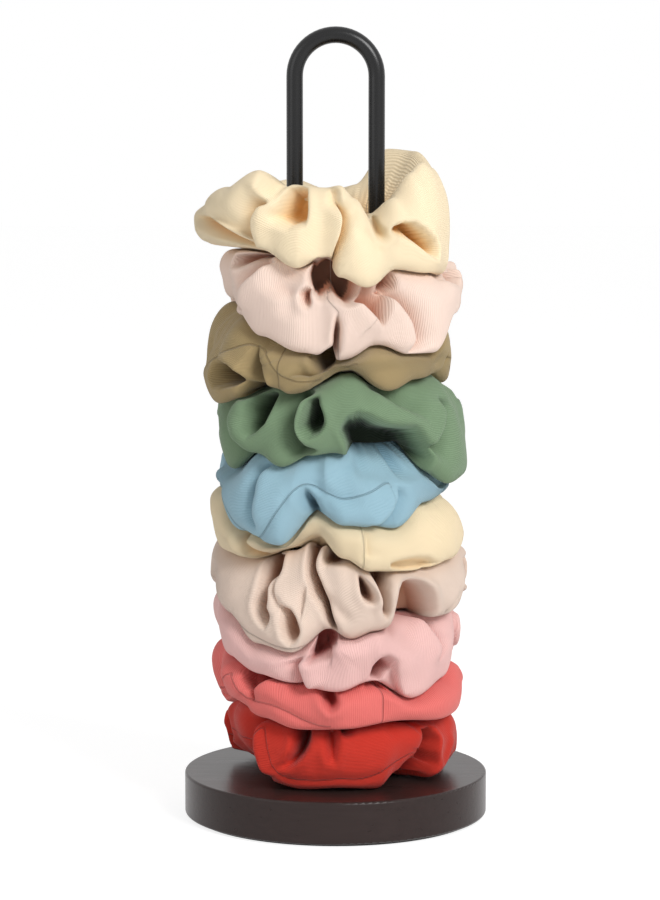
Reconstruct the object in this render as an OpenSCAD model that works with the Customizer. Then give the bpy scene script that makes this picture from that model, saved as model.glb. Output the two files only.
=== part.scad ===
// Hair tie stand: a wooden base, a bent steel hoop, and ten gathered cloth ties piled round the hoop.
// Millimetres, +Z up, front towards -Y. The origin is on the floor under the middle of the base.

/* [Base] */
// Diameter of the wooden base
base_d = 130; // [112:1:160]
// Thickness of the wooden base
base_t = 18; // [17:0.5:24]
// Radius that eases the edges of the base
base_edge_r = 1; // [0.4:0.1:2]
// Thickness of the foam pad under the base
pad_t = 1; // [0.6:0.1:2]
// How far the pad stays in from the edge of the base
pad_inset = 3; // [2:0.5:8]

/* [Hoop] */
// Height from the floor to the top of the hoop
overall_h = 337; // [330:1:400]
// Diameter of the hoop's steel rod
rod_d = 7; // [6:0.5:8]
// Distance between the middles of the hoop's legs
leg_spacing = 34.6; // [30:0.2:38]
// Depth to which each leg goes into the base
leg_depth = 12; // [10:0.5:12.5]
// Room round a leg in its socket, on each side
leg_clearance = 0.1; // [0.05:0.05:0.3]

/* [Screws] */
// Diameter of the screws that hold the legs
screw_d = 4; // [3:0.5:4]
// Length of a screw under its head
screw_l = 12; // [10:0.5:13]
// Diameter of a screw's head
screw_head_d = 8; // [6.5:0.5:9]
// Height of a screw's head
screw_head_h = 2.4; // [1.8:0.1:2.6]
// Diameter of the washer under a screw's head
washer_d = 9; // [8:0.5:10]
// Thickness of the washer
washer_t = 0.8; // [0.5:0.1:1]
// Room round a screw in the base and the washer, on each side
screw_clearance = 0.2; // [0.1:0.05:0.4]
// Room left between the screw's head and the pad
head_clearance = 0.3; // [0.1:0.1:0.5]
// Length of a leg's thread past the screw's end
thread_spare = 1.5; // [0.5:0.5:4]

/* [Hair ties] */
// Diameter of the hole through a tie
tie_hole_d = 49; // [48:0.5:56]
// Diameter of a tie across its folds, without their swell
tie_d = 112; // [100:1:124]
// Height of one tie in the pile
tie_h = 24.7; // [22:0.1:26]
// How far the cloth swells out between two hems
swell = 3.5; // [1.5:0.5:6]
// Gap between a tie and what it lies on
tie_gap = 0.6; // [0.4:0.1:1]
// Diameter of the elastic inside a tie
elastic_d = 3; // [2:0.5:4]
// Room round the elastic in its sleeve
elastic_clearance = 0.3; // [0.2:0.1:0.6]
// Cloth between the hole and the channel for the elastic
channel_wall = 3.7; // [3:0.1:6]

/* [Hidden] */
$fn = 96;

// Colours of the ties, from the top of the pile down
tie_colours = [
    "#f8e8b4", "#eac8bc", "#a89468", "#4f7a50", "#93bdd6",
    "#f8e4b8", "#e8cdb8", "#dd959c", "#cf5a60", "#c2271e"
];
tie_count = len(tie_colours);

base_bottom = pad_t;
base_top = base_bottom + base_t;
leg_foot = base_top - leg_depth;
arc_r = leg_spacing / 2;
arc_z = overall_h - rod_d / 2 - arc_r;
head_z = base_bottom + head_clearance;
washer_z = head_z + screw_head_h;
counterbore_top = washer_z + washer_t;
screw_end = washer_z + screw_l;
hole_r = tie_hole_d / 2;
elastic_ring_r = hole_r + channel_wall + elastic_clearance + elastic_d / 2;

// Sizes of the tie that the hems below were drawn for
drawn_hole_r = 24.5;
drawn_r = 56;
drawn_h = 24.7;

// Hems of the pile, from the free upper edge of the top tie down to the lower edge of the bottom one.
// Each point is [azimuth from the front towards +X, radius, rise over the level that the tie lies at].
hems = [
    [[-90, 57, -2], [-60, 56, 6], [-40, 53, 14], [-28, 44, 8], [-8, 44, 7], [2, 48, 8], [22, 44, -4],
     [50, 46, -5], [78, 46, 2], [100, 45, 12], [124, 44, 20], [145, 42, 22], [165, 36, 7],
     [185, 40, 4], [208, 43, 9], [232, 50, 5], [252, 53, 1]],
    [[-80, 56, 5], [-50, 52, 4], [-38, 50, 3], [-18, 53, -4], [-8, 46, 1], [2, 52, -8], [14, 54, -12],
     [30, 50, -5], [48, 54, -7], [68, 50, -9], [90, 47, -4], [115, 50, 2], [140, 50, -6],
     [165, 54, -10], [190, 50, 0], [215, 54, -6], [240, 50, 3], [262, 54, 3]],
    [[-88, 52, 14], [-54, 52, 3], [-37, 53, -8], [-15, 54, -14], [3, 52, -17], [20, 51, -11],
     [34, 54, -15], [48, 55, -15], [62, 56, 0], [80, 55, 5], [105, 52, -3], [130, 55, -9],
     [155, 50, 2], [180, 54, -8], [205, 52, -2], [230, 55, -8], [252, 51, 5]],
    [[-88, 56, -5], [-67, 55, -13], [-46, 54, -9], [-32, 50, -4], [-19, 55, -6], [7, 50, 4],
     [24, 54, -5], [40, 52, -1], [60, 54, 0], [85, 52, 2], [110, 55, -8], [135, 51, 0],
     [160, 55, -10], [185, 50, -2], [210, 54, -7], [235, 52, 1], [255, 55, -2]],
    [[-82, 51, -9], [-68, 50, -16], [-40, 52, -7], [-25, 55, -12], [-12, 52, -7], [4, 50, -4],
     [26, 50, -4], [48, 51, -8], [62, 55, -22], [80, 56, -16], [100, 54, -6], [125, 50, -2],
     [150, 55, -10], [175, 51, -3], [200, 55, -9], [225, 50, 0], [250, 54, -6]],
    [[-78, 51, -1], [-50, 53, -16], [-26, 55, -20], [-10, 45, -6], [4, 54, -11], [27, 54, -13],
     [48, 50, -4], [71, 48, -1], [95, 47, -6], [120, 49, -2], [145, 55, -12], [170, 51, -4],
     [195, 54, -13], [220, 50, -3], [242, 53, -9], [262, 51, 1]],
    [[-88, 56, 13], [-66, 53, -1], [-44, 50, -2], [-27, 46, 3], [-10, 44, 9], [4, 52, 0],
     [15, 56, -5], [38, 56, -6], [60, 56, -4], [85, 54, 2], [110, 50, -3], [135, 54, -9],
     [160, 50, 1], [185, 55, -8], [210, 51, -2], [235, 55, -6], [254, 53, 4]],
    [[-77, 56, 11], [-57, 56, -2], [-39, 54, -13], [-20, 56, -15], [-2, 50, -6], [18, 53, -5],
     [34, 50, -2], [60, 54, -3], [85, 55, 4], [110, 52, -4], [135, 55, -10], [160, 50, 0],
     [185, 54, -9], [212, 50, -2], [238, 55, -7], [262, 55, 5]],
    [[-77, 51, 11], [-60, 54, 4], [-38, 52, -1], [-17, 52, -4], [0, 55, -6], [17, 52, -2],
     [37, 55, -11], [60, 54, -6], [78, 52, 1], [100, 52, -4], [122, 55, -10], [148, 51, 0],
     [172, 54, -8], [198, 50, -1], [222, 54, -9], [246, 51, 2], [265, 53, 9]],
    [[-85, 51, 16], [-57, 52, 11], [-38, 50, 5], [-17, 52, 2], [2, 54, 3], [30, 52, 5], [56, 55, 3],
     [78, 54, 5], [100, 54, 0], [122, 51, 5], [146, 55, -3], [170, 51, 4], [195, 55, -4],
     [220, 51, 3], [245, 53, 0], [262, 50, 6]],
    [[-78, 42, 12], [-57, 43, 11], [-40, 46, 2], [-19, 46, 0], [2, 46, 1], [24, 46, 0], [42, 46, 8],
     [58, 49, 1], [72, 50, 3], [95, 50, 0], [120, 52, 3], [150, 47, 0], [180, 50, 2], [210, 46, 0],
     [240, 49, 3], [260, 46, 8]]
];

// Where a tie's section is drawn along a hem's run out from the hole, and up its swollen side
run_shares = [0.1, 0.4, 0.72, 1];
side_shares = [0.2, 0.5, 0.8];
azimuths = [for (i = [0 : 35]) 10 * i - 90];
// A swollen side is blunter than an arc by this power
side_power = 0.6;

function two_digits(k) = str(k < 10 ? "0" : "", k);
function sleeve_name(k) = str("tie_", two_digits(k), "_sleeve");
function elastic_name(k) = str("tie_", two_digits(k), "_elastic");

// Height at which tie k of the pile lies; level 0 is the top of the pile
function level(k) = base_top + (tie_count - k) * tie_h;

// Index of the first point of a hem that lies past an azimuth
function next_point(hem, azimuth, i = 0) =
    i == len(hem) || hem[i][0] > azimuth ? i : next_point(hem, azimuth, i + 1);

// The hem between its two nearest points, with an even curve from one to the other
function hem_at(hem, azimuth) =
    let (
        next = next_point(hem, azimuth),
        low = hem[(next + len(hem) - 1) % len(hem)],
        high = hem[next % len(hem)],
        turn = (high[0] - low[0] + 360) % 360,
        share = ((azimuth - low[0] + 360) % 360) / turn,
        eased = (1 - cos(180 * share)) / 2
    )
    low + eased * (high - low);

// A hem point as [radius, height], fitted to the ties' own sizes
function hem_edge(k, azimuth) =
    let (point = hem_at(hems[k], azimuth))
    [
        hole_r + (point[1] - drawn_hole_r) * (tie_d / 2 - hole_r) / (drawn_r - drawn_hole_r),
        level(k) + point[2] * tie_h / drawn_h
    ];

// The surface that two ties share: level at the hole, and falling or rising to the hem
function shared_surface(k, azimuth, share, lift) =
    let (edge = hem_edge(k, azimuth), eased = share * share * (3 - 2 * share))
    [hole_r + share * (edge[0] - hole_r), level(k) + eased * (edge[1] - level(k)) + lift];

// One section of tie k, anticlockwise from the wall of its hole
function section(k, azimuth) =
    let (
        low = hem_edge(k, azimuth) + [0, tie_gap / 2],
        high = hem_edge(k - 1, azimuth) - [0, tie_gap / 2],
        last = len(run_shares) - 1
    )
    concat(
        [[hole_r, (level(k) + level(k - 1)) / 2]],
        [for (share = run_shares) shared_surface(k, azimuth, share, tie_gap / 2)],
        [for (share = side_shares)
            low + share * (high - low) + [swell * pow(sin(180 * share), side_power), 0]],
        [for (i = [last : -1 : 0]) shared_surface(k - 1, azimuth, run_shares[i], -tie_gap / 2)]
    );

// Corners a, b, c, d of a patch as two triangles, cut so that neighbouring ties fold alike
function patch(a, b, c, d, on_lower_side) =
    on_lower_side ? [[a, b, c], [a, c, d]] : [[a, b, d], [b, c, d]];

// A closed ring of cloth through one section per azimuth
module folded_ring(k) {
    sections = [for (azimuth = azimuths) section(k, azimuth)];
    turns = len(azimuths);
    round_points = len(sections[0]);
    lower_points = round_points / 2;
    points = [
        for (i = [0 : turns - 1], p = sections[i])
            [p[0] * sin(azimuths[i]), -p[0] * cos(azimuths[i]), p[1]]
    ];
    faces = [
        for (i = [0 : turns - 1], j = [0 : round_points - 1])
            let (
                here = i * round_points,
                beside = (i + 1) % turns * round_points,
                next = (j + 1) % round_points
            )
            each patch(here + j, here + next, beside + next, beside + j, j < lower_points)
    ];
    polyhedron(points, faces);
}

// A ring of round section at the middle of tie k's height
module elastic_ring(k, thickness) {
    translate([0, 0, (level(k) + level(k - 1)) / 2])
        rotate_extrude()
            translate([elastic_ring_r, 0])
                circle(d = thickness);
}

module at_each_leg() {
    for (side = [-1, 1])
        translate([side * leg_spacing / 2, 0, 0])
            children();
}

module base_profile() {
    edge_x = base_d / 2 - base_edge_r;
    square_at_edges = base_t - 2 * base_edge_r;
    translate([0, base_bottom])
        square([edge_x, base_t]);
    translate([0, base_bottom + base_edge_r])
        square([base_d / 2, square_at_edges]);
    for (z = [base_bottom + base_edge_r, base_top - base_edge_r])
        translate([edge_x, z])
            circle(r = base_edge_r);
}

module base_disc() {
    socket_d = rod_d + 2 * leg_clearance;
    counterbore_d = max(washer_d, screw_head_d) + 2 * screw_clearance;
    color("#35241f")
        difference() {
            rotate_extrude()
                base_profile();
            at_each_leg() {
                translate([0, 0, leg_foot])
                    cylinder(d = socket_d, h = leg_depth + 1);
                translate([0, 0, base_bottom])
                    cylinder(d = screw_d + 2 * screw_clearance, h = base_t);
                translate([0, 0, base_bottom - 1])
                    cylinder(d = counterbore_d, h = counterbore_top - base_bottom + 1);
            }
        }
}

module hoop_rod() {
    color("#2c2c2e")
        difference() {
            union() {
                at_each_leg()
                    translate([0, 0, leg_foot])
                        cylinder(d = rod_d, h = arc_z - leg_foot);
                translate([0, 0, arc_z])
                    rotate([90, 0, 0])
                        rotate_extrude(angle = 180)
                            translate([arc_r, 0])
                                circle(d = rod_d);
            }
            at_each_leg()
                translate([0, 0, leg_foot - 1])
                    cylinder(d = screw_d, h = screw_end - leg_foot + thread_spare + 1);
        }
}

module hoop_screws() {
    shank_d = screw_d - 0.1;
    slot_w = 0.11 * screw_head_d;
    slot_l = 0.5 * screw_head_d;
    slot_depth = 0.5 * screw_head_h;
    color("silver")
        at_each_leg()
            difference() {
                union() {
                    translate([0, 0, head_z])
                        cylinder(d = screw_head_d, h = screw_head_h);
                    translate([0, 0, washer_z - 0.1])
                        cylinder(d = shank_d, h = screw_l + 0.1);
                }
                for (turn = [0, 90])
                    rotate([0, 0, turn])
                        translate([-slot_l / 2, -slot_w / 2, head_z - 1])
                            cube([slot_l, slot_w, slot_depth + 1]);
            }
}

module screw_washers() {
    color("lightgray")
        at_each_leg()
            translate([0, 0, washer_z])
                difference() {
                    cylinder(d = washer_d, h = washer_t);
                    translate([0, 0, -1])
                        cylinder(d = screw_d + 2 * screw_clearance, h = washer_t + 2);
                }
}

module base_pad() {
    color("#26262a")
        cylinder(d = base_d - 2 * pad_inset, h = pad_t);
}

module tie_sleeve(k) {
    color(tie_colours[k - 1])
        difference() {
            folded_ring(k);
            elastic_ring(k, elastic_d + 2 * elastic_clearance);
        }
}

module tie_elastic(k) {
    color("ivory")
        elastic_ring(k, elastic_d);
}

base_disc();
hoop_rod();
hoop_screws();
screw_washers();
base_pad();
for (k = [1 : tie_count]) {
    tie_sleeve(k);
    tie_elastic(k);
}
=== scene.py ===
import math

import bpy
import numpy as np
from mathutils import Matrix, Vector


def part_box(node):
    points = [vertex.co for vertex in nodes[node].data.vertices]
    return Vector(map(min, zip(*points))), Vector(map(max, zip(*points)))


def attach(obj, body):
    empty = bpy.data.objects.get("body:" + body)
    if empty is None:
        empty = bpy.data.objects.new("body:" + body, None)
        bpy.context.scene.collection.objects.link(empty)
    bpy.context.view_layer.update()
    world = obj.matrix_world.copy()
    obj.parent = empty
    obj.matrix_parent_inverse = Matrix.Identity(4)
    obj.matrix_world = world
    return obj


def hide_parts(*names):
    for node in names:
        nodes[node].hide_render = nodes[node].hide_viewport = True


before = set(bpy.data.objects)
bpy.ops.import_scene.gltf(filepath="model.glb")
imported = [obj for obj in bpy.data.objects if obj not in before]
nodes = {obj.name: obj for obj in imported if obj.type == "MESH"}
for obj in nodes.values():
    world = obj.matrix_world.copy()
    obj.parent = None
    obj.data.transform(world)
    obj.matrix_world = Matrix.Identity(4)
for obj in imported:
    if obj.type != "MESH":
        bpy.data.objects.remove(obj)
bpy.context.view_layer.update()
MM = 0.001


# The photograph's viewpoint: a long lens about 1.3 m in front of the stand, just above the top of the
# pile and tipped down a little.
CAMERA_AWAY = 1.3
CAMERA_UP = 0.308
CAMERA_ASIDE = -0.0024
CAMERA_TIP = 6.6
CAMERA_LENS = 122.5
bpy.ops.object.select_all(action="DESELECT")
bpy.ops.object.camera_add(
    location=(CAMERA_ASIDE, -CAMERA_AWAY, CAMERA_UP),
    rotation=(math.radians(90 - CAMERA_TIP), 0, 0),
)
camera = bpy.context.object
camera.data.lens = CAMERA_LENS
bpy.context.scene.camera = camera


# The base is one turned disc of hardwood, stained espresso brown and sealed with a thin satin lacquer.
# The grain runs across it from left to right and shows only faintly through the stain.
class Socket:
    """A shader socket on which Python's operators build Math nodes."""

    def __init__(self, shading, link):
        self.shading = shading
        self.link = link

    def math(self, operation, *others):
        inputs = {f"i{place}": value for place, value in enumerate((self, *others))}
        return self.shading.node("Math", {"operation": operation}, **inputs)

    def clip(self, low, high):
        return self.math("MAXIMUM", low).math("MINIMUM", high)

    def __add__(self, other):
        return self.math("ADD", other)

    def __sub__(self, other):
        return self.math("SUBTRACT", other)

    def __mul__(self, other):
        return self.math("MULTIPLY", other)

    def __rsub__(self, other):
        return self * -1 + other

    __radd__ = __add__
    __rmul__ = __mul__


class Shading:
    """The shader nodes of a material, or of the world."""

    def __init__(self, owner):
        owner.use_nodes = True
        self.owner = owner
        self.tree = owner.node_tree

    def fill(self, node, inputs):
        """Gives a node's sockets values or links. A name such as i2 stands for the place of a socket."""
        for name, value in inputs.items():
            place = node.inputs[int(name[1:]) if name[1:].isdigit() else name.replace("_", " ")]
            if isinstance(value, Socket):
                self.tree.links.new(value.link, place)
            elif place.type == "RGBA":
                place.default_value = (*value, 1)
            else:
                place.default_value = value

    def node(self, kind, settings=None, output=0, **inputs):
        """A new node of a kind with its settings and the values or links of its sockets."""
        node = self.tree.nodes.new("ShaderNode" + kind)
        for name, value in (settings or {}).items():
            setattr(node, name, value)
        self.fill(node, inputs)
        return Socket(self, node.outputs[output])

    def on_piece(self, scale=(1, 1, 1)):
        """Coordinates on the piece, in metres times a scale."""
        return self.node("Mapping", Vector=self.node("TexCoord", output=3), Scale=scale)

    def noise(self, where, scale, detail=3, roughness=0.5, distortion=0):
        return self.node(
            "TexNoise",
            Vector=where,
            Scale=scale,
            Detail=detail,
            Roughness=roughness,
            Distortion=distortion,
        )

    def mix(self, share, first, second):
        """Two colours mixed by a share."""
        return self.node("Mix", {"data_type": "RGBA"}, output=2, i0=share, i6=first, i7=second)

    def mark(self, name):
        """What is marked on the mesh's points under a name."""
        return self.node("Attribute", {"attribute_name": name}, output=2)

    def bump(self, height, distance):
        return self.node("Bump", Height=height, Distance=distance, Strength=1.0)

    def finish(self, **inputs):
        """Sets the material's own Principled shader and gives the material."""
        self.fill(self.tree.nodes["Principled BSDF"], inputs)
        return self.owner


def material(name):
    return Shading(bpy.data.materials.new(name))


def dress(node, finish):
    """Gives a CAD node its finish."""
    mesh = nodes[node].data
    mesh.materials.clear()
    mesh.materials.append(finish)


STAIN_DARK = (0.019, 0.0105, 0.0095)
STAIN_LIGHT = (0.036, 0.0225, 0.0205)
GRAIN_STRETCH = (6, 90, 90)
PORE_STRETCH = (30, 700, 700)
wood = material("espresso stained wood")
grain = wood.noise(wood.on_piece(GRAIN_STRETCH), 5, detail=6, roughness=0.62, distortion=0.4)
pores = wood.noise(wood.on_piece(PORE_STRETCH), 4, detail=2)
dress("base_disc", wood.finish(
    Base_Color=wood.mix(grain * 0.9 + pores * 0.1, STAIN_DARK, STAIN_LIGHT),
    Roughness=grain * 0.1 + 0.24,
    Normal=wood.bump(pores * 0.2 + grain * 0.8, 0.00008),
    Specular_IOR_Level=0.22,
))


# The hoop is one steel rod bent into a narrow U and powder coated black. The coat is satin, with the
# faint orange peel of baked powder.
COAT_BLACK = (0.006, 0.006, 0.0065)
COAT_SPECK = (0.01, 0.01, 0.0105)
powder = material("satin black powder coat")
peel = powder.noise(powder.on_piece(), 900, detail=2)
specks = powder.noise(powder.on_piece(), 4200, detail=1)
dress("hoop_rod", powder.finish(
    Base_Color=powder.mix(specks, COAT_BLACK, COAT_SPECK),
    Roughness=peel * 0.06 + 0.24,
    Normal=powder.bump(peel * 0.7 + specks * 0.3, 0.00002),
    Specular_IOR_Level=0.33,
))


# Two zinc-plated screws and their washers hold the legs from below. They sit in counterbores, so only
# their finish is set here.
ZINC_DULL = (0.56, 0.56, 0.57)
ZINC_BRIGHT = (0.7, 0.7, 0.71)
zinc = material("zinc plate")
brushed = zinc.noise(zinc.on_piece((1, 1, 30)), 1500, detail=3)
zinc_plate = zinc.finish(
    Base_Color=zinc.mix(brushed, ZINC_DULL, ZINC_BRIGHT),
    Metallic=1.0,
    Roughness=brushed * 0.2 + 0.25,
    Normal=zinc.bump(brushed, 0.00003),
)
dress("hoop_screws", zinc_plate)
dress("screw_washers", zinc_plate)


# A disc of closed-cell foam is glued under the base. It hides the screws and keeps the wood off the
# table.
FOAM_DARK = (0.012, 0.012, 0.014)
FOAM_LIGHT = (0.03, 0.03, 0.033)
foam = material("closed cell foam")
cells = foam.node("TexVoronoi", Vector=foam.on_piece(), Scale=2600.0)
dress("base_pad", foam.finish(
    Base_Color=foam.mix(cells, FOAM_DARK, FOAM_LIGHT),
    Roughness=0.92,
    Normal=foam.bump(cells, 0.0001),
))


# Each hair tie is a sleeve of ribbed crepe, sewn to a tube and gathered on a ring of elastic. Ties that
# lie on each other share a surface, from level at the hole to the hem between them, and the cloth
# between two hems swells out, except where folds and hollows draw it in.
TIE_COUNT = 10
HOLE_R = 24.5
SWELL = 3.5
SWELL_POWER = 0.6
TOP_SINKS = 6

# Hems from the free upper edge of the top tie down: [azimuth from the front towards +X in degrees,
# radius in mm, rise in mm over the level that the tie lies at]
HEMS = [
    [[-90, 57, -2], [-60, 56, 6], [-40, 53, 14], [-28, 44, 8], [-8, 44, 7], [2, 48, 8], [11, 45, 2],
     [22, 44, -9], [35, 45, 2], [47, 46, 14], [57, 46, 19], [70, 46, 17], [84, 46, 13], [100, 45, 14],
     [124, 44, 23], [145, 42, 24], [165, 36, 7], [185, 40, 4], [208, 43, 9], [232, 50, 5],
     [252, 53, 1]],
    [[-80, 56, 5], [-50, 52, 4], [-38, 50, 3], [-18, 53, -4], [-8, 46, 1], [2, 52, -8], [14, 54, -12],
     [30, 50, -5], [48, 54, -7], [68, 50, -9], [90, 47, -4], [115, 50, 2], [140, 50, -6],
     [165, 54, -10], [190, 50, 0], [215, 54, -6], [240, 50, 3], [262, 54, 3]],
    [[-88, 43, 3], [-72, 45, 1], [-54, 51, 0], [-37, 53, -8], [-15, 54, -14], [3, 52, -17],
     [20, 51, -11], [34, 54, -15], [48, 55, -15], [62, 54, 0], [80, 49, 4], [105, 50, -3],
     [130, 55, -9], [155, 50, 2], [180, 54, -8], [205, 52, -2], [230, 55, -8], [252, 51, 5]],
    [[-88, 56, -5], [-67, 55, -13], [-46, 54, -9], [-32, 50, -4], [-19, 55, -6], [7, 50, 4],
     [24, 54, -5], [40, 52, -1], [60, 50, 0], [85, 44, 0], [110, 52, -8], [135, 51, 0], [160, 55, -10],
     [185, 50, -2], [210, 54, -7], [235, 52, 1], [255, 55, -2]],
    [[-82, 48, -16], [-68, 49, -17], [-40, 52, -7], [-25, 55, -12], [-12, 52, -7], [-1, 50, -6],
     [7, 50, -7], [14, 50, -12], [28, 50, -14], [46, 51, -15], [62, 55, -22], [80, 56, -20],
     [100, 54, -6], [125, 50, -2], [150, 55, -10], [175, 51, -3], [200, 55, -9], [225, 50, 0],
     [246, 52, -8], [262, 49, -16]],
    [[-78, 51, -1], [-50, 53, -16], [-26, 55, -20], [-10, 45, -6], [4, 54, -11], [27, 54, -13],
     [48, 50, -4], [71, 48, -1], [95, 47, -6], [120, 49, -2], [145, 55, -12], [170, 51, -4],
     [195, 54, -13], [220, 50, -3], [242, 53, -9], [262, 51, 1]],
    [[-88, 49, 10], [-66, 51, -1], [-44, 50, -2], [-27, 46, 3], [-10, 44, 9], [4, 52, 0], [15, 56, -5],
     [38, 56, -6], [60, 56, -4], [85, 54, 2], [110, 50, -3], [135, 54, -9], [160, 50, 1], [185, 55, -8],
     [210, 51, -2], [235, 55, -6], [254, 53, 4]],
    [[-77, 56, 11], [-57, 56, -2], [-39, 54, -13], [-20, 56, -15], [-3, 50, -5], [7, 53, -9],
     [18, 53, -6], [34, 50, -2], [60, 54, -3], [85, 55, 4], [110, 52, -4], [135, 55, -10], [160, 50, 0],
     [185, 54, -9], [212, 50, -2], [238, 55, -7], [262, 55, 5]],
    [[-77, 51, 11], [-60, 54, 4], [-38, 52, -1], [-17, 52, -4], [0, 55, -6], [17, 52, -2],
     [37, 55, -11], [60, 54, -6], [78, 52, 1], [100, 52, -4], [122, 55, -10], [148, 51, 0],
     [172, 54, -8], [198, 50, -1], [222, 54, -9], [246, 51, 2], [265, 53, 9]],
    [[-85, 44, 9], [-57, 50, 10], [-38, 50, 5], [-17, 52, 2], [2, 54, 3], [30, 52, 5], [56, 55, 3],
     [78, 54, 5], [100, 54, 0], [122, 51, 5], [146, 55, -3], [170, 51, 4], [195, 55, -4], [220, 51, 3],
     [245, 53, 0], [262, 50, 6]],
    [[-78, 42, 12], [-57, 43, 11], [-40, 46, 2], [-19, 46, 0], [2, 46, 1], [23, 46, 0], [33, 46, 6],
     [41, 46, 12], [50, 46, 11], [58, 49, 1], [66, 49, 1], [76, 50, 5], [95, 50, 0], [120, 52, 3],
     [150, 47, 0], [180, 50, 2], [210, 46, 0], [240, 49, 3], [260, 46, 8]],
]

# Folds that the photograph shows, in its pixels: how deep the cloth dips in mm, over how many mm it
# comes back up, and the line of the edge that laps over it. Seen along the line, the cloth dips on the
# right-hand side.
FOLDS = {
    1: [
        (11, 9, [(267, 204), (257, 217), (256, 230), (260, 245), (263, 254)]),
        (12, 7, [(308, 274), (321, 258), (331, 234), (334, 217), (332, 200)]),
        (4, 6, [(262, 252), (250, 247), (236, 236), (222, 224), (208, 216)]),
    ],
    2: [
        (9, 12, [(268, 262), (254, 278), (243, 288), (238, 300), (239, 313)]),
        (17, 13, [(384, 329), (372, 326), (362, 315), (350, 303)]),
        (12, 9, [(407, 356), (406, 340), (402, 322), (392, 308), (376, 294)]),
        (4, 4, [(470, 293), (455, 287), (440, 281)]),
    ],
    3: [
        (16, 12, [(253, 344), (264, 353), (270, 362), (274, 376), (282, 391)]),
        (5, 5, [(357, 364), (331, 375), (310, 381), (288, 377)]),
    ],
    4: [
        (9, 10, [(262, 391), (246, 399), (236, 412), (235, 427), (244, 441), (256, 451), (263, 458)]),
        (14, 11, [(316, 392), (310, 408), (307, 420), (307, 432), (313, 441), (320, 452)]),
        (5, 12, [(432, 421), (415, 418), (398, 410), (380, 398), (366, 388)]),
        (12, 11, [(428, 446), (437, 430), (441, 415), (442, 398)]),
    ],
    5: [
        (9, 7, [(270, 462), (265, 480), (263, 500), (262, 515), (258, 530)]),
        (5, 6, [(365, 526), (380, 520), (388, 511), (395, 497), (400, 483)]),
    ],
    6: [
        (3, 5, [(363, 560), (362, 545), (363, 530)]),
    ],
    7: [
        (5, 4, [(273, 577), (276, 588), (280, 600), (284, 612)]),
        (3, 4, [(306, 585), (308, 598), (305, 612), (302, 622)]),
        (4, 4, [(440, 611), (444, 605), (450, 592), (457, 580)]),
    ],
    8: [
        (13, 9, [(392, 629), (377, 628), (362, 631), (350, 639), (343, 650), (335, 657), (325, 653)]),
        (9, 9, [(305, 655), (308, 668), (312, 682), (318, 690)]),
        (5, 6, [(393, 661), (398, 672), (401, 683), (405, 692), (410, 698)]),
        (15, 8, [(438, 662), (433, 645), (428, 630), (419, 619)]),
    ],
    9: [
        (9, 12, [(252, 703), (243, 693), (238, 682), (235, 668)]),
        (9, 14, [(292, 682), (277, 681), (262, 690), (252, 701)]),
    ],
    10: [
        (10, 14, [(255, 716), (254, 735), (255, 752), (260, 768), (268, 781)]),
        (9, 5, [(421, 765), (420, 750), (424, 736), (431, 727)]),
    ],
}

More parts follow.
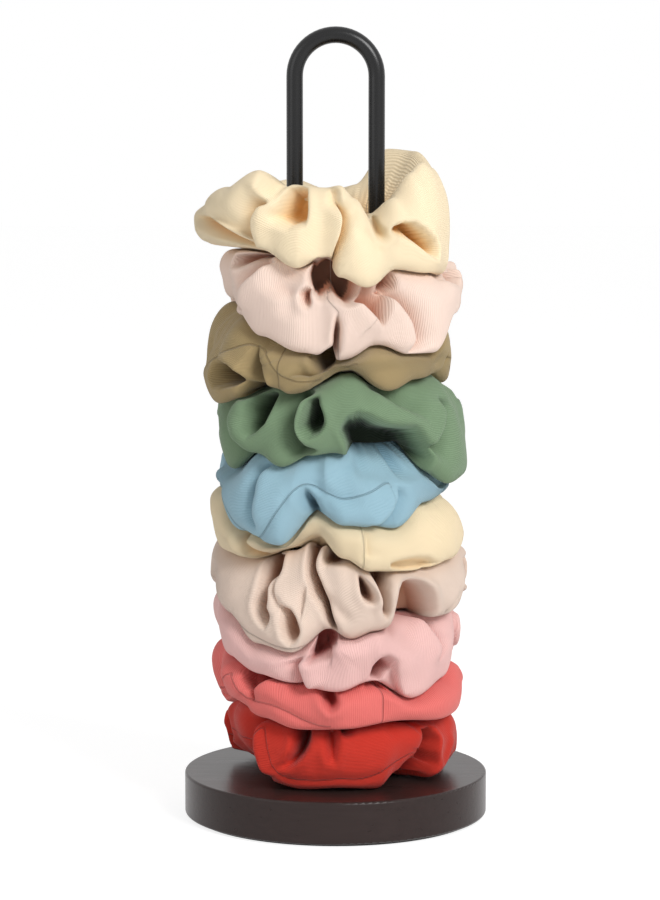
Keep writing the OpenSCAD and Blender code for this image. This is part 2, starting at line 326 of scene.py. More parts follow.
# Hollows that the photograph shows between folds, in its pixels: how deep in mm, over how many mm the
# cloth falls to that depth, and the rim
HOLLOWS = {
    1: [
        (13, 3, [(204, 216), (214, 218), (222, 226), (236, 240), (252, 250), (262, 252), (240, 250),
                 (222, 240), (210, 230)]),
        (20, 4, [(268, 222), (285, 228), (304, 224), (305, 212), (303, 200), (300, 190), (288, 186),
                 (276, 190), (270, 205)]),
        (20.3, 3, [(394, 232), (402, 227), (411, 224), (420, 226), (430, 233), (440, 247), (439, 257),
                   (430, 252), (420, 243), (408, 236)]),
        (8.7, 3, [(379, 216), (388, 222), (397, 238), (390, 243), (383, 240), (379, 230)]),
    ],
    2: [
        (26, 2, [(306, 272), (312, 258), (325, 262), (336, 274), (350, 282), (366, 292), (350, 306),
                 (333, 298), (318, 296), (311, 288)]),
        (13, 1.5, [(298, 295), (304, 290), (312, 289), (307, 296), (311, 303), (307, 306), (302, 301)]),
        (14.5, 2, [(221, 266), (224, 256), (240, 252), (264, 250), (262, 256), (240, 261), (228, 267)]),
        (14.5, 1.3, [(337, 318), (340, 330), (339, 350), (334, 364), (308, 363), (322, 356), (333, 348),
                     (334, 332)]),
        (17.4, 2, [(384, 289), (391, 276), (398, 270), (404, 276), (402, 288), (394, 295)]),
    ],
    3: [
        (23.5, 2, [(214, 366), (222, 362), (230, 365), (238, 370), (247, 378), (238, 384), (226, 386),
                   (217, 383), (213, 374)]),
        (20.3, 2, [(246, 381), (258, 386), (272, 384), (284, 393), (270, 396), (255, 400), (242, 404),
                   (238, 398)]),
        (14.5, 2, [(308, 358), (318, 355), (330, 350), (340, 346), (338, 362), (330, 370), (320, 376),
                   (314, 368)]),
    ],
    4: [
        (24.6, 2, [(270, 396), (262, 394), (254, 400), (249, 411), (247, 424), (250, 431), (256, 429),
                   (264, 421), (267, 412), (269, 404)]),
        (18.8, 1.5, [(318, 398), (322, 404), (325, 415), (326, 424), (322, 430), (316, 432), (311, 428),
                     (313, 420), (316, 410)]),
        (28, 2.5, [(340, 430), (348, 419), (357, 415), (366, 417), (376, 423), (388, 428), (400, 430),
                   (411, 431), (420, 435), (427, 443), (434, 458), (430, 480), (400, 480), (360, 480),
                   (350, 470), (347, 445)]),
    ],
    5: [
        (11.6, 4, [(299, 488), (306, 491), (314, 501), (320, 514), (310, 518), (301, 508), (297, 498)]),
        (9, 2, [(402, 474), (407, 466), (415, 461), (423, 460), (428, 466), (427, 475), (418, 479),
                (408, 480)]),
    ],
    6: [
        (17.4, 1.5, [(420, 504), (424, 494), (436, 490), (443, 494), (442, 504)]),
        (10.2, 4, [(230, 524), (240, 530), (246, 542), (256, 550), (272, 556), (268, 564), (250, 562),
                   (240, 556), (234, 540)]),
        (5.8, 2, [(387, 562), (398, 558), (412, 556), (424, 557), (434, 562), (424, 570), (400, 571),
                  (388, 568)]),
    ],
    7: [
        (23.2, 2.5, [(253, 556), (264, 556), (272, 558), (275, 572), (273, 577), (267, 579), (264, 584),
                     (264, 592), (267, 602), (264, 609), (271, 618), (266, 625), (261, 621), (256, 613),
                     (254, 605), (256, 592), (255, 578)]),
        (13, 2.5, [(279, 596), (285, 606), (291, 612), (297, 622), (301, 632), (297, 641), (291, 644),
                   (285, 638), (282, 628), (282, 615)]),
        (23.2, 1.5, [(303, 545), (312, 526), (317, 512), (323, 526), (329, 540), (317, 548), (312, 560),
                     (312, 572), (317, 582), (323, 592), (329, 606), (332, 618), (338, 632), (333, 630),
                     (327, 621), (321, 604), (313, 590), (306, 578), (303, 565)]),
        (20, 1.5, [(330, 540), (338, 550), (346, 556), (354, 564), (340, 565), (322, 564), (323, 556),
                   (327, 549)]),
        (17.4, 1.3, [(360, 576), (365, 581), (371, 590), (374, 598), (371, 601), (365, 600), (361, 594),
                     (360, 586)]),
        (18.8, 2.5, [(370, 569), (385, 562), (392, 558), (396, 564), (395, 572), (389, 580), (386, 590),
                     (386, 600), (387, 612), (384, 617), (380, 608), (379, 597), (376, 587)]),
        (16, 2.5, [(396, 590), (401, 583), (408, 580), (415, 580), (421, 583), (426, 590), (430, 600),
                   (434, 611), (430, 640), (415, 645), (402, 645), (392, 635), (394, 606)]),
    ],
    8: [
        (18, 2, [(380, 628), (390, 620), (400, 612), (418, 612), (414, 620), (402, 624), (394, 631),
                 (385, 631)]),
        (18, 2, [(325, 626), (338, 638), (344, 645), (335, 656), (325, 657), (315, 661), (309, 652),
                 (317, 637)]),
        (15, 2.5, [(370, 678), (372, 666), (378, 658), (385, 656), (391, 660), (393, 666), (386, 672),
                   (380, 680)]),
    ],
    9: [
        (13, 2, [(314, 686), (325, 692), (337, 694), (339, 703), (335, 709), (330, 711), (324, 704)]),
        (8.7, 2, [(366, 690), (373, 676), (384, 684), (396, 696), (384, 692), (376, 688)]),
    ],
    10: [
        (15.9, 4, [(283, 726), (296, 724), (307, 728), (309, 742), (306, 752), (300, 760), (291, 767),
                   (281, 770), (270, 770), (280, 764), (287, 755), (289, 745), (287, 736)]),
        (8.7, 5, [(322, 730), (340, 730), (340, 750), (336, 766), (328, 764), (324, 750)]),
        (17.4, 1.5, [(343, 732), (350, 725), (360, 724), (357, 733), (350, 738), (345, 737)]),
        (25, 1.5, [(431, 733), (439, 730), (443, 741), (441, 752), (444, 764), (438, 779), (431, 771),
                   (428, 752)]),
    ],
}

# Soft creases, and with a minus the rounded ridges, that the photograph shows: depth and half width in
# mm, and the line in pixels
CREASES = {
    1: [
        (4, 4, [(269, 174), (264, 188), (260, 202)]),
        (5, 3, [(335, 186), (333, 200), (331, 215)]),
        (2.5, 3, [(361, 222), (368, 236), (378, 246), (390, 250)]),
    ],
    2: [
        (4, 7, [(285, 263), (280, 280), (276, 300)]),
        (2.5, 5, [(289, 285), (291, 300), (290, 320)]),
    ],
    3: [
        (-2.5, 3.5, [(216, 359), (230, 362), (244, 371), (256, 381)]),
        (-2.5, 4, [(340, 367), (377, 360), (423, 353), (460, 349)]),
        (3, 5, [(347, 378), (382, 371), (425, 364), (457, 360)]),
    ],
    4: [
        (-2, 3, [(258, 393), (245, 403), (240, 416), (242, 430), (252, 436)]),
        (-2.5, 5, [(334, 425), (342, 412), (358, 406), (380, 413), (402, 421), (424, 428)]),
        (-2, 3, [(314, 396), (311, 412), (309, 428), (316, 440)]),
    ],
    5: [
        (1.6, 1.4, [(263, 466), (257, 490), (254, 512), (252, 530)]),
        (1.4, 1.4, [(259, 470), (252, 492), (247, 518)]),
        (1.4, 1.4, [(267, 482), (260, 505), (257, 526)]),
        (3.5, 7, [(343, 460), (345, 488), (345, 516)]),
        (4, 9, [(369, 440), (369, 460), (365, 482)]),
        (1.3, 1.2, [(409, 467), (408, 480)]),
        (1.3, 1.2, [(414, 463), (413, 482)]),
        (1.3, 1.2, [(419, 461), (419, 482)]),
        (1.3, 1.2, [(424, 462), (425, 480)]),
    ],
    7: [
        (2.2, 2.2, [(320, 590), (330, 602), (342, 614), (356, 624)]),
        (-2.5, 3, [(387, 614), (388, 596), (392, 584), (399, 576), (410, 574), (420, 576), (427, 586),
                   (431, 598), (437, 608)]),
        (-1.5, 3, [(366, 574), (375, 584), (380, 597), (381, 612)]),
        (-2, 3, [(270, 582), (273, 598), (276, 616)]),
    ],
    8: [
        (-4.5, 6, [(333, 672), (347, 654), (366, 643), (390, 643), (405, 658), (415, 684)]),
        (3, 5, [(322, 640), (330, 650), (338, 646)]),
    ],
    9: [
        (-2, 4, [(220, 650), (226, 672), (234, 692), (246, 708)]),
    ],
    10: [
        (-1.5, 3, [(258, 718), (258, 745), (262, 765), (272, 780), (290, 785)]),
        (1.5, 2, [(392, 727), (398, 733), (404, 740)]),
        (-2, 3, [(433, 734), (430, 746), (429, 760), (433, 774)]),
        (-2, 3, [(452, 726), (455, 742), (453, 758), (446, 772), (437, 779)]),
    ],
}

# Where the photograph shows the long seam of a tie, and the short seam that closes its tube, in its
# pixels
LONG_SEAMS = {
    3: [(207, 378), (210, 362), (222, 353), (235, 348), (247, 343), (262, 350), (283, 376), (300, 382),
        (320, 381), (335, 374), (356, 362)],
    5: [(216, 491), (229, 517), (240, 531), (250, 540), (263, 537), (270, 528), (276, 517), (284, 505),
        (291, 493), (300, 484), (310, 486), (325, 494), (343, 501), (365, 495), (392, 481)],
    7: [(214, 597), (228, 611), (247, 632), (269, 644), (292, 649), (308, 646)],
    9: [(235, 668), (240, 688), (250, 701), (262, 703), (275, 706), (290, 713), (303, 720), (318, 725),
        (330, 727)],
    10: [(261, 717), (261, 745), (263, 760), (272, 776), (288, 783), (320, 784), (340, 782), (363, 783),
         (385, 776), (398, 766), (420, 753)],
}
CLOSING_SEAMS = {
    2: [(327, 300), (338, 311), (339, 328), (338, 362)],
    3: [(280, 366), (282, 390)],
    6: [(363, 530), (362, 568)],
    9: [(383, 680), (382, 723)],
}
SEAM_GROOVE = (1.1, 1.7)

base_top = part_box("base_disc")[1].z / MM
elastic_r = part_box("tie_01_elastic")[1].x / MM
top_ring, bottom_ring = (sum(corner.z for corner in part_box(name)) / 2 / MM
                         for name in ("tie_01_elastic", f"tie_{TIE_COUNT:02d}_elastic"))
tie_h = (top_ring - bottom_ring) / (TIE_COUNT - 1)


def eased(share):
    """A share from 0 to 1 that starts and ends evenly."""
    share = np.clip(share, 0, 1)
    return share * share * (3 - 2 * share)


def wrapped(azimuth):
    """The same azimuths, from -90 up to 270 degrees."""
    return (azimuth + 90) % 360 - 90


def short_way(turn):
    """The same turns, from -180 up to 180 degrees."""
    return (turn + 180) % 360 - 180


def points_at(azimuth, radius, height):
    """Points at azimuths in degrees, radii and heights."""
    turn = np.radians(azimuth)
    return np.stack([radius * np.sin(turn), -radius * np.cos(turn), height], 1)


def smoothed(values, reach, width, kept):
    """Values evened out with their neighbours, up to a reach on each side."""
    bell = np.exp(-(np.arange(-reach, reach + 1) / width) ** 2)
    return np.convolve(values, bell / bell.sum(), kept)


def level(k):
    """Height in mm at which tie k lies; level 0 is the top of the pile."""
    return base_top + (TIE_COUNT - k) * tie_h


def hem_edge(k, azimuth):
    """Radius and height of hem k at azimuths, with an even curve between its points."""
    points = np.array(HEMS[k], float)
    azimuth = wrapped(azimuth)
    ring = np.vstack([points[-2:] - [360, 0, 0], points, points[:2] + [360, 0, 0]])
    low = np.clip(np.searchsorted(ring[:, 0], azimuth, side="right") - 1, 0, len(ring) - 2)
    share = (azimuth - ring[low, 0]) / (ring[low + 1, 0] - ring[low, 0])
    share = (1 - np.cos(np.pi * share)) / 2
    radius = ring[low, 1] + share * (ring[low + 1, 1] - ring[low, 1])
    rise = ring[low, 2] + share * (ring[low + 1, 2] - ring[low, 2])
    return radius, level(k) + rise


def shared_surface(k, azimuth, radius):
    """Height of the surface between ties k and k + 1; the top tie sinks in the middle."""
    hem_r, hem_z = hem_edge(k, azimuth)
    middle = level(k) - (TOP_SINKS if k == 0 else 0)
    return middle + eased((radius - HOLE_R) / (hem_r - HOLE_R)) * (hem_z - middle)


GIRTH_R = 54
SEEN_R = 53.9
START_RISE = 12
MM_A_DEGREE = GIRTH_R * math.pi / 180
PHOTO_MIDDLE = (330, 450)
FILM, PHOTO_HEIGHT = 36, 900
PIXEL = FILM / CAMERA_LENS / PHOTO_HEIGHT


def unrolled(k, pixel):
    """Azimuth in degrees and height in mm of what the photograph shows at a pixel, at tie k's girth."""
    tip = math.radians(CAMERA_TIP)
    away, up = CAMERA_AWAY / MM, CAMERA_UP / MM
    y, z = -GIRTH_R, level(k) + START_RISE
    for _ in range(8):
        depth = (away + y) * math.cos(tip) + (up - z) * math.sin(tip)
        x = (pixel[0] - PHOTO_MIDDLE[0]) * PIXEL * depth + CAMERA_ASIDE / MM
        x = max(-SEEN_R, min(SEEN_R, x))
        y = -math.sqrt(GIRTH_R * GIRTH_R - x * x)
        drop = (pixel[1] - PHOTO_MIDDLE[1]) * PIXEL * depth
        z = up - (drop + (away + y) * math.sin(tip)) / math.cos(tip)
    return math.degrees(math.atan2(x, -y)), z


def traced(k, shapes):
    """Shapes that were traced in the photograph's pixels, laid out on tie k."""
    laid_out = []
    for depth, width, line in shapes.get(k, []):
        laid_out.append((depth, width, [unrolled(k, pixel) for pixel in line]))
    return laid_out


REAR_SEED = 100
REAR_START, REAR_END = 86, 258
REAR_STEP = (17, 27)
REAR_DEPTH = (8, 15)
REAR_FADE = (5, 11)
REAR_LEAN = 9
REAR_CURVE = 7
REAR_FOOT = (-6, 3)
REAR_HEAD = (17, 26)


def rear_folds(k):
    """Folds round the back of tie k, where the photograph shows nothing."""
    draw = np.random.default_rng(REAR_SEED + k)
    azimuth = REAR_START + draw.uniform(0, 10)
    folds = []
    while azimuth < REAR_END:
        lean = draw.uniform(-REAR_LEAN, REAR_LEAN)
        curve = draw.uniform(-REAR_CURVE, REAR_CURVE)
        low, high = draw.uniform(*REAR_FOOT), draw.uniform(*REAR_HEAD)
        line = []
        for t in (-1, -0.6, -0.2, 0.2, 0.6, 1):
            turn = azimuth + lean * t + curve * math.sin(math.pi * t)
            line.append((turn, level(k) + low + (high - low) * (t / 2 + 0.5)))
        if draw.uniform() < 0.5:
            line.reverse()
        folds.append((draw.uniform(*REAR_DEPTH), draw.uniform(*REAR_FADE), line))
        azimuth += draw.uniform(*REAR_STEP)
    return folds


WRINKLE_SEED = 300
WRINKLE_STEP = 11
WRINKLE_DEPTH = (0.8, 2.4)
WRINKLE_WIDTH = (2.5, 5)
WRINKLE_FOOT = (-6, 12)
WRINKLE_RISE = (9, 17)
WRINKLE_LEAN = 8
FRONT = 75
FRONT_CALM = 0.2


def wrinkles(k):
    """Short shallow creases that the gathering leaves all round tie k, calmer where the traced ones are."""
    draw = np.random.default_rng(WRINKLE_SEED + k)
    creases = []
    azimuths = np.arange(-88, 272, WRINKLE_STEP)
    for azimuth in azimuths + draw.uniform(-4, 4, len(azimuths)):
        foot = level(k) + draw.uniform(*WRINKLE_FOOT)
        rise = draw.uniform(*WRINKLE_RISE)
        lean = draw.uniform(-WRINKLE_LEAN, WRINKLE_LEAN)
        line = [(azimuth + lean * t * t, foot + rise * t) for t in (0, 0.35, 0.7, 1)]
        if draw.uniform() < 0.5:
            line.reverse()
        calm = FRONT_CALM if abs(azimuth) < FRONT else 1
        creases.append((calm * draw.uniform(*WRINKLE_DEPTH), draw.uniform(*WRINKLE_WIDTH), line))
    return creases


def nearest_on(line, azimuth, height):
    """How far points lie from a line, on which side, how far along it, the line's own direction there, and
    whether they are inside it."""
    corners = np.array(line) * [MM_A_DEGREE, 1]
    legs = np.diff(corners, axis=0)
    lengths = np.linalg.norm(legs, axis=1)
    before = np.concatenate([[0], np.cumsum(lengths)])
    middle = corners[:, 0].mean()
    half = 180 * MM_A_DEGREE
    across = (azimuth * MM_A_DEGREE - middle + half) % (2 * half) - half + middle
    nearest = np.full_like(azimuth, 1e6)
    side, along, run_x, run_z = (np.zeros_like(azimuth) for _ in range(4))
    inside = np.zeros(azimuth.shape, bool)
    for corner, leg, length, start in zip(corners, legs, lengths, before):
        off_x, off_z = across - corner[0], height - corner[1]
        place = np.clip((off_x * leg[0] + off_z * leg[1]) / length ** 2, 0, 1)
        gap_x, gap_z = off_x - place * leg[0], off_z - place * leg[1]
        gap = np.hypot(gap_x, gap_z)
        near = gap < nearest
        nearest = np.where(near, gap, nearest)
        side = np.where(near, np.sign(gap_x * leg[1] - gap_z * leg[0]), side)
        along = np.where(near, (start + place * length) / before[-1], along)
        run_x = np.where(near, leg[0] / length, run_x)
        run_z = np.where(near, leg[1] / length, run_z)
        if abs(leg[1]) > 1e-9:
            inside ^= ((off_z < 0) != (off_z < leg[1])) & (off_x < off_z / leg[1] * leg[0])
    return nearest, side, along, run_x, run_z, inside


LIP = 1.2
LIP_OFF = 2.5
LIP_FROM_DEPTH = 8
EDGE = 1.8
EDGE_OFF = 0.2
LAP_LIMIT = 4.5
LAP_SHARE = 0.4
LAP_REACH = 6
FOLD_ENDS = 0.22
RIM_LIP = 0.7 * LIP
RIM_OFF = 2
RIM_WIDTH = 1.6
RIM_FROM_DEPTH = 10
RIM_EDGE_OFF = 0.3
FOLDS_IN_HOLLOW = 0.4
CREASE_ENDS = 0.3


def folded(shapes, azimuth, height):
    """How far the folds draw the cloth in, in mm, and shift it round, in degrees, and up, in mm."""
    folds, hollows, creases = shapes
    drawn, aside, upward, deepest = (np.zeros_like(azimuth) for _ in range(4))
    for depth, fade, line in folds:
        nearest, side, along, run_x, run_z, _ = nearest_on(line, azimuth, height)
        signed = nearest * side
        ends = eased(np.minimum(along, 1 - along) / FOLD_ENDS)
        edge = eased((signed + EDGE_OFF) / EDGE)
        under = edge * np.exp(-(np.maximum(signed, 0) / fade) ** 2)
        over = np.exp(-((signed + LIP_OFF) / LIP_OFF) ** 2)
        drawn += ends * (depth * under - LIP * min(1, depth / LIP_FROM_DEPTH) * over)
        lap = min(LAP_LIMIT, LAP_SHARE * depth) * ends * np.exp(-(nearest / LAP_REACH) ** 2) * (1 - edge)
        aside += lap * run_z
        upward -= lap * run_x
    for depth, fall, rim in hollows:
        nearest, _, _, _, _, inside = nearest_on(rim + rim[:1], azimuth, height)
        signed = np.where(inside, nearest, -nearest)
        deepest = np.maximum(deepest, depth * eased((signed + RIM_EDGE_OFF) / fall))
        over = np.exp(-((signed + RIM_OFF) / RIM_WIDTH) ** 2)
        drawn -= RIM_LIP * min(1, depth / RIM_FROM_DEPTH) * over
    drawn = np.where(deepest > 0, np.maximum(drawn, FOLDS_IN_HOLLOW * drawn + deepest), drawn)
    for depth, width, line in creases:
        nearest, _, along, _, _, _ = nearest_on(line, azimuth, height)
        drawn += depth * eased(np.minimum(along, 1 - along) / CREASE_ENDS) * np.exp(-(nearest / width) ** 2)
    return drawn, aside / MM_A_DEGREE, upward


# How far each tie is drawn in at its left and at its right, in mm
DRAWN_IN = {
    1: (0, 2), 2: (4, -2), 3: (0, 3), 4: (3, 0), 5: (2, 4),
    6: (0, 0), 7: (3, 0), 8: (5, 4), 9: (1, 0), 10: (3, 3),
}
INSET = 8.0
INSET_FROM = 0.55
INSET_OVER = 0.45
HEM_ROLL = 2.0
HEM_ROLL_TO = 0.12
HEAD_PAST_FOOT = 3
COVER = 1.2


def side_radius(k, azimuth, share):
    """Radius of tie k's side at azimuths and at a share of its height, before the folds are drawn in."""
    low_r = hem_edge(k, azimuth)[0]
    high_r = np.minimum(hem_edge(k - 1, azimuth)[0], low_r + HEAD_PAST_FOOT)
    swell = SWELL * np.sin(np.pi * np.clip(share, 0.001, 0.999)) ** SWELL_POWER
    radius = low_r + share * (high_r - low_r) + swell
    head = np.clip((share - INSET_FROM) / INSET_OVER, 0, 1)
    foot = np.clip(1 - share / HEM_ROLL_TO, 0, 1)
    left, right = DRAWN_IN[k]
    turn = np.sin(np.radians(azimuth))
    radius = radius - left * np.clip(-turn, 0, 1) ** 3 - right * np.clip(turn, 0, 1) ** 3
    return radius - INSET * (1 - np.sqrt(1 - 0.98 * head * head)) - HEM_ROLL * foot * foot


def side_height(k, azimuth, share):
    """Height of tie k's side at azimuths and at a share of the way from its lower hem to its upper one."""
    return hem_edge(k, azimuth)[1] * (1 - share) + hem_edge(k - 1, azimuth)[1] * share


def side_of(k, shapes, azimuth, share):
    """Tie k's side, outside the elastic: its radius, its shifts round and up, and how far it is drawn in."""
    share = np.full_like(azimuth, share)
    drawn, aside, upward = folded(shapes, azimuth, side_height(k, azimuth, share))
    radius = np.maximum(side_radius(k, azimuth, share) - drawn, elastic_r + COVER)
    return radius, aside, upward, drawn


LENGTHWISE = 420
FINE = 1441
RUN_REACH, RUN_WIDTH = 60, 24
CROWDING = (0.8, 1.4)


def columns(k, shapes):
    """Azimuths of tie k's columns, closer together where the cloth's way is longer, and its whole length."""
    fine = np.linspace(-90, 270, FINE)
    run = 0
    for share in (0.25, 0.5, 0.75):
        reach = side_of(k, shapes, fine, share)[0]
        path = points_at(fine, reach, side_height(k, fine, share))
        run = run + np.linalg.norm(np.diff(path, axis=0), axis=1) / 3
    run = np.concatenate([run[-RUN_REACH:], run, run[:RUN_REACH]])
    run = smoothed(run, RUN_REACH, RUN_WIDTH, "valid")
    run = np.clip(run, CROWDING[0] * run.mean(), CROWDING[1] * run.mean())
    run = np.concatenate([[0], np.cumsum(run)])
    return np.interp(np.arange(LENGTHWISE) / LENGTHWISE * run[-1], run, fine), run[-1]


UNSEEN = 9
UNDERSIDE = 25
SEAM_UNDER = 0.7
BEHIND_FROM, BEHIND_TO, BEHIND_STEP = 12, 349, 6
BEHIND_RISE = 5
BEHIND_WAVE, BEHIND_WAVES = 2, 5
SEEN_AGAIN = 100


def long_seam_gap(k, azimuth, height, part, share):
    """How far points lie from tie k's long seam, in mm. Where none is traced, it runs underneath."""
    if k not in LONG_SEAMS:
        under = UNDERSIDE * (share - SEAM_UNDER)
        return np.full_like(azimuth, {"low": under, "in": -UNSEEN}.get(part, UNSEEN))
    if part in ("low", "in"):
        return np.full_like(azimuth, -UNSEEN)
    line = np.array([unrolled(k, pixel) for pixel in LONG_SEAMS[k]])
    traced_end = line[-1, 0]
    round_back = np.arange(traced_end + BEHIND_FROM, line[0, 0] + BEHIND_TO, BEHIND_STEP)
    wave = BEHIND_WAVE * np.sin(np.radians(round_back) * BEHIND_WAVES)
    behind = hem_edge(k, round_back)[1] + BEHIND_RISE + wave
    line = np.vstack([line, np.stack([round_back, behind], 1), line[:1] + [360, 0]])
    line = np.vstack([line[-3:-1] - [360, 0], line])
    steps = np.arange(-100, 281)
    track = smoothed(np.interp(steps, line[:, 0], line[:, 1]), 8, 3, "same")
    slope = np.interp(azimuth, steps, np.gradient(track)) / MM_A_DEGREE
    gap = (height - np.interp(azimuth, steps, track)) / np.hypot(1, slope)
    return np.where((azimuth > traced_end + 1) & (azimuth < SEEN_AGAIN), UNSEEN, gap)


CLOSED_BEHIND = 120
CLOSED_APART = 31


def closing_seam_gap(k, azimuth, height):
    """How far points lie from the seam that closes tie k's tube, in mm. Untraced ones are behind."""
    if k in CLOSING_SEAMS:
        line = np.array([unrolled(k, pixel) for pixel in CLOSING_SEAMS[k]])[::-1]
        place = np.interp(height, line[:, 1], line[:, 0])
    else:
        place = CLOSED_BEHIND + CLOSED_APART * (k % 4)
    return short_way(azimuth - place) * MM_A_DEGREE


INNER, LOWER, SIDE, UPPER = 2, 7, 30, 7
INNER_R = HOLE_R + 2
FULL_R = 44
MARGIN = 0.2
LEAST_MARGIN = 0.12
GATHERS = 1.0
GATHER_SEED = 200
GATHER_COUNTS = (31, 43, 58, 71)
# A depth used only for painted shade: the cloth by the elastic ring is darkened as if drawn in this far.
NEAR_RING_SHADE_DEPTH = 10.0
HEM_BLEND = 0.15


def sleeve_points(k):
    """Tie k's sleeve as a grid of points in mm, lengthwise and round its section, what is marked on them,
    and the sleeve's length."""
    seams = [(*SEAM_GROOVE, tracks[k]) for tracks in (LONG_SEAMS, CLOSING_SEAMS) if k in tracks]
    folds, hollows = traced(k, FOLDS) + rear_folds(k), traced(k, HOLLOWS)
    shapes = folds, hollows, traced(k, CREASES) + wrinkles(k) + traced(k, {k: seams})
    azimuth, length = columns(k, shapes)
    even = -90 + 360 * np.arange(LENGTHWISE) / LENGTHWISE
    draw = np.random.default_rng(GATHER_SEED + k)
    gathers = np.zeros_like(even)
    for count in GATHER_COUNTS:
        wave = np.sin(np.radians(even) * count + draw.uniform(0, 2 * math.pi))
        gathers += wave / len(GATHER_COUNTS)
    rows = [(share, "in") for share in np.linspace(0.8, 0.2, INNER)]
    rows += [(share, "low") for share in np.linspace(0.05, 0.96, LOWER)]
    rows += [(share, "side") for share in (1 - np.cos(np.pi * np.linspace(0.08, 0.92, SIDE))) / 2]
    rows += [(share, "high") for share in np.linspace(0.96, 0.05, UPPER)]
    edges = {"low": side_of(k, shapes, azimuth, 0), "high": side_of(k, shapes, azimuth, 1)}
    grid = np.zeros((LENGTHWISE, len(rows), 3))
    marks = {name: np.zeros(grid.shape[:2]) for name in ("seam", "closing", "pocket")}
    for j, (share, part) in enumerate(rows):
        if part == "in":
            radius, aside, upward, drawn = np.full_like(azimuth, INNER_R), 0, 0, NEAR_RING_SHADE_DEPTH
        elif part == "side":
            radius, aside, upward, drawn = side_of(k, shapes, azimuth, share)
        else:
            edge_r, edge_aside, _, edge_drawn = edges[part]
            radius = INNER_R + share * (edge_r - INNER_R)
            aside, upward = edge_aside * share ** 3, 0
            drawn = share * edge_drawn + (1 - share) * NEAR_RING_SHADE_DEPTH
        out = np.clip((radius - HOLE_R) / (FULL_R - HOLE_R), 0, 1)
        turned = even + short_way(azimuth - even) * out
        low = shared_surface(k, turned, radius) + MARGIN
        high = shared_surface(k - 1, turned, radius) - MARGIN
        ruffle = GATHERS * np.clip(1 - share, 0, 1) ** 0.7
        if part == "in":
            z = low + share * (high - low)
        elif part == "low":
            z = low + ruffle * (1 + gathers)
        elif part == "high":
            z = high - ruffle * (1 - gathers)
        else:
            low_hem, high_hem = hem_edge(k, turned)[1], hem_edge(k - 1, turned)[1]
            z = low_hem + share * (high_hem - low_hem) + upward
            z = z + eased(1 - share / HEM_BLEND) * (low - low_hem)
            z = np.clip(z + eased(1 - (1 - share) / HEM_BLEND) * (high - high_hem), low, high)
        turned = turned + aside
        grid[:, j] = points_at(turned, radius, z)
        marks["seam"][:, j] = long_seam_gap(k, wrapped(turned), z, part, share)
        marks["closing"][:, j] = closing_seam_gap(k, wrapped(turned), z)
        # How far the cloth is drawn in is kept on its points, for the painted shade in its pockets.
        marks["pocket"][:, j] = drawn
    around = (np.roll(grid, 1, 0) + np.roll(grid, -1, 0) + np.roll(grid, 1, 1) + np.roll(grid, -1, 1)) / 4
    grid = grid * 0.5 + around * 0.5
    radius = np.hypot(grid[..., 0], grid[..., 1])
    turned = np.degrees(np.arctan2(grid[..., 0], -grid[..., 1]))
    if k > 1:
        grid[..., 2] = np.minimum(grid[..., 2], shared_surface(k - 1, turned, radius) - LEAST_MARGIN)
    grid[..., 2] = np.maximum(grid[..., 2], shared_surface(k, turned, radius) + LEAST_MARGIN)
    return grid, marks, length


CLOTH = {
    1: ("cream", (0.97, 0.83, 0.6)),
    2: ("blush", (0.9, 0.73, 0.64)),
    3: ("khaki", (0.46, 0.355, 0.19)),
    4: ("green", (0.24, 0.34, 0.215)),
    5: ("blue", (0.39, 0.58, 0.67)),
    6: ("cream", (0.96, 0.81, 0.57)),
    7: ("nude", (0.85, 0.7, 0.6)),
    8: ("pink", (0.86, 0.57, 0.54)),
    9: ("coral", (0.82, 0.22, 0.2)),
    10: ("red", (0.64, 0.052, 0.03)),
}
RIBS_ACROSS = {2, 8, 9}
RIB = 0.95
STITCHING = {"seam": 0.45, "closing": 0.4}


def darkened(colour, power, share=1):
    """The colour, richer and darker."""
    return tuple(c ** power * share for c in colour)


def cloth(k):
    """Ribbed crepe of tie k's colour with painted shade that turns it richer and darker the deeper the cloth
    is drawn in, and with its seams' stitching.
    """
    name, colour = CLOTH[k]
    shade = darkened(colour, 1.3, 0.88)
    sewn = darkened(colour, 1.3, 0.6)
    # The colour of the painted shade down in the pockets.
    deep = darkened(colour, 4)
    # The colour of the painted shade, near black, at the bottom of the deepest hollows.
    deepest = darkened(colour, 3, 0.12)
    crepe = material(f"{name} crepe {k}")
    laid_out = crepe.node("Mapping", Vector=crepe.node("TexCoord", output=2))
    across = crepe.node("SeparateXYZ", Vector=laid_out, output=0 if k in RIBS_ACROSS else 1)
    ribs = (across * (2 * math.pi / RIB)).math("SINE") * 0.5 + 0.5
    threads = crepe.noise(laid_out, 2.4, detail=2)
    mottle = crepe.noise(crepe.on_piece(), 60, detail=3)
    stitching = 0
    for seam, width in STITCHING.items():
        stitching = stitching + (crepe.mark(seam).math("ABSOLUTE") * (-2 / width) + 2).clip(0.0, 1.0)
    pocket = crepe.mark("pocket")
    # Painted shade: the further the cloth is drawn in, the more of the darker, richer colour it gets.
    pocket_shade_share = ((pocket - 3) * 0.06).clip(0.0, 0.8)
    # Painted shade: cloth drawn in more than 21 mm turns near black.
    deepest_shade_share = ((pocket - 21) * 0.2).clip(0.0, 0.85)
    tone = crepe.mix(ribs * 0.45 + threads * 0.35, shade, colour)
    tone = crepe.mix(pocket_shade_share, crepe.mix(mottle * 0.25, tone, shade), deep)
    return crepe.finish(
        Base_Color=crepe.mix(stitching * 0.6, crepe.mix(deepest_shade_share, tone, deepest), sewn),
        Roughness=0.82,
        Normal=crepe.bump(ribs * 0.25 + threads * 0.1 - stitching, 0.0005),
        Sheen_Weight=0.15,
        Sheen_Roughness=0.45,
        Specular_IOR_Level=0.25,
    )


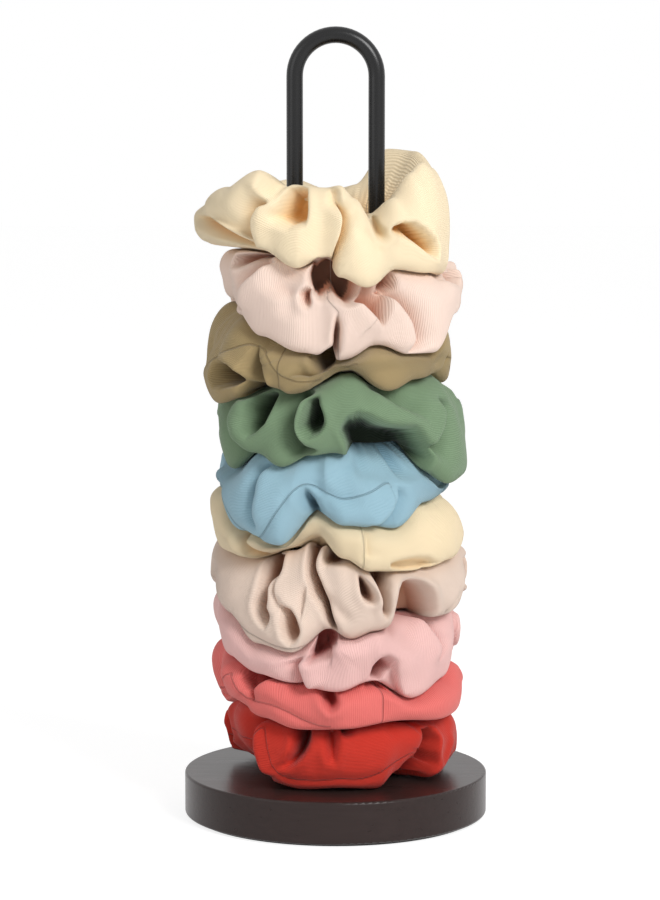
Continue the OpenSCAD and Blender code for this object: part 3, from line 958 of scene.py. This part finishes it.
def make_sleeve(k):
    """Builds, rounds and dresses the sleeve of tie k."""
    grid, marks, length = sleeve_points(k)
    turns, round_points = grid.shape[:2]
    girth = np.median(np.linalg.norm(np.roll(grid, -1, 1) - grid, axis=2).sum(1))
    quad = ((0, 0), (1, 0), (1, 1), (0, 1))
    cells = [(i, j) for i in range(turns) for j in range(round_points)]
    faces = [[(i + di) % turns * round_points + (j + dj) % round_points for di, dj in quad] for i, j in cells]
    mesh = bpy.data.meshes.new(f"sleeve_{k:02d}")
    mesh.from_pydata((grid.reshape(-1, 3) * MM).tolist(), [], faces)
    layer = mesh.uv_layers.new(name="cloth")
    for face, (i, j) in zip(mesh.polygons, cells):
        face.use_smooth = True
        for corner, (di, dj) in zip(face.loop_indices, quad):
            layer.data[corner].uv = ((i + di) / turns * length, (j + dj) / round_points * girth)
    for name, values in marks.items():
        mesh.attributes.new(name, "FLOAT", "POINT").data.foreach_set("value", values.ravel())
    piece = bpy.data.objects.new(f"sleeve_{k:02d}", mesh)
    bpy.context.scene.collection.objects.link(piece)
    bpy.ops.object.select_all(action="DESELECT")
    bpy.context.view_layer.objects.active = piece
    piece.select_set(True)
    rounding = piece.modifiers.new("rounding", "SUBSURF")
    rounding.levels = rounding.render_levels = 1
    bpy.ops.object.modifier_apply(modifier=rounding.name)
    mesh.materials.append(cloth(k))
    node = f"tie_{k:02d}_sleeve"
    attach(piece, f"tie_{k:02d}")
    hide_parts(node)


for k in range(1, TIE_COUNT + 1):
    make_sleeve(k)


# The elastic inside each sleeve is a 3 mm round cord with a braided cover. It is sewn to a ring before
# the tube is closed, and the cloth hides it.
BRAID_DARK = (0.62, 0.58, 0.5)
BRAID_LIGHT = (0.8, 0.77, 0.7)
braid = material("braided elastic")
strands = braid.node("TexWave", {"wave_type": "BANDS"}, Vector=braid.on_piece(), Scale=900.0, Distortion=3.0)
elastic_cover = braid.finish(
    Base_Color=braid.mix(strands, BRAID_DARK, BRAID_LIGHT),
    Roughness=0.7,
    Normal=braid.bump(strands, 0.0001),
)
for k in range(1, TIE_COUNT + 1):
    dress(f"tie_{k:02d}_elastic", elastic_cover)


# A plain white floor that keeps the stand's soft shadow. The camera and the gloss see it brighter than
# the lamps make it.
WHITE = (1, 1, 1)
FLOOR_SIZE = 12
FLOOR_PALE = (0.9, 0.9, 0.9)


def seen_directly(shading):
    """Over 0 for rays from the camera, and for those that a piece reflects or lets through."""
    return sum(shading.node("LightPath", output=place) for place in (0, 3, 6))


bpy.ops.object.select_all(action="DESELECT")
bpy.ops.mesh.primitive_plane_add(size=FLOOR_SIZE, location=(0, 0, 0))
floor = bpy.context.object
floor.name = "floor"
white = material("white floor")
floor.data.materials.append(white.finish(Base_Color=FLOOR_PALE, Roughness=0.7))
lit = Socket(white, white.tree.nodes["Principled BSDF"].outputs[0])
glow = white.node("Emission", Color=WHITE, Strength=1.35)
share = seen_directly(white).math("MINIMUM", 1.0) * 0.6
brightened = white.node("MixShader", i0=share, i1=lit, i2=glow)
white.fill(white.tree.nodes["Material Output"], {"Surface": brightened})


# White surroundings that light the stand weakly and show white behind it, with one large soft lamp from
# the front right and a weak one from the left.
STUDIO_LIGHT = 0.42
world = Shading(bpy.data.worlds.new("studio"))
bpy.context.scene.world = world.owner
ambient = world.tree.nodes["Background"]
world.fill(ambient, {"Color": WHITE, "Strength": STUDIO_LIGHT})
backdrop = world.node("Background", Color=WHITE)
either = world.node("MixShader", i0=seen_directly(world), i1=Socket(world, ambient.outputs[0]), i2=backdrop)
world.fill(world.tree.nodes["World Output"], {"Surface": either})

MIDDLE = Vector((0, 0, 0.17))
for name, spot, size, power in (
    ("key", (0.85, -1.15, 1.1), 0.7, 21.5),
    ("fill", (-1.2, -1.0, 0.7), 1.0, 4),
):
    bpy.ops.object.light_add(type="AREA", location=spot)
    lamp = bpy.context.object
    lamp.name = name
    lamp.data.size = size
    lamp.data.energy = power
    lamp.rotation_euler = (MIDDLE - lamp.location).to_track_quat("-Z", "Y").to_euler()

bpy.context.scene.view_settings.view_transform = "Standard"
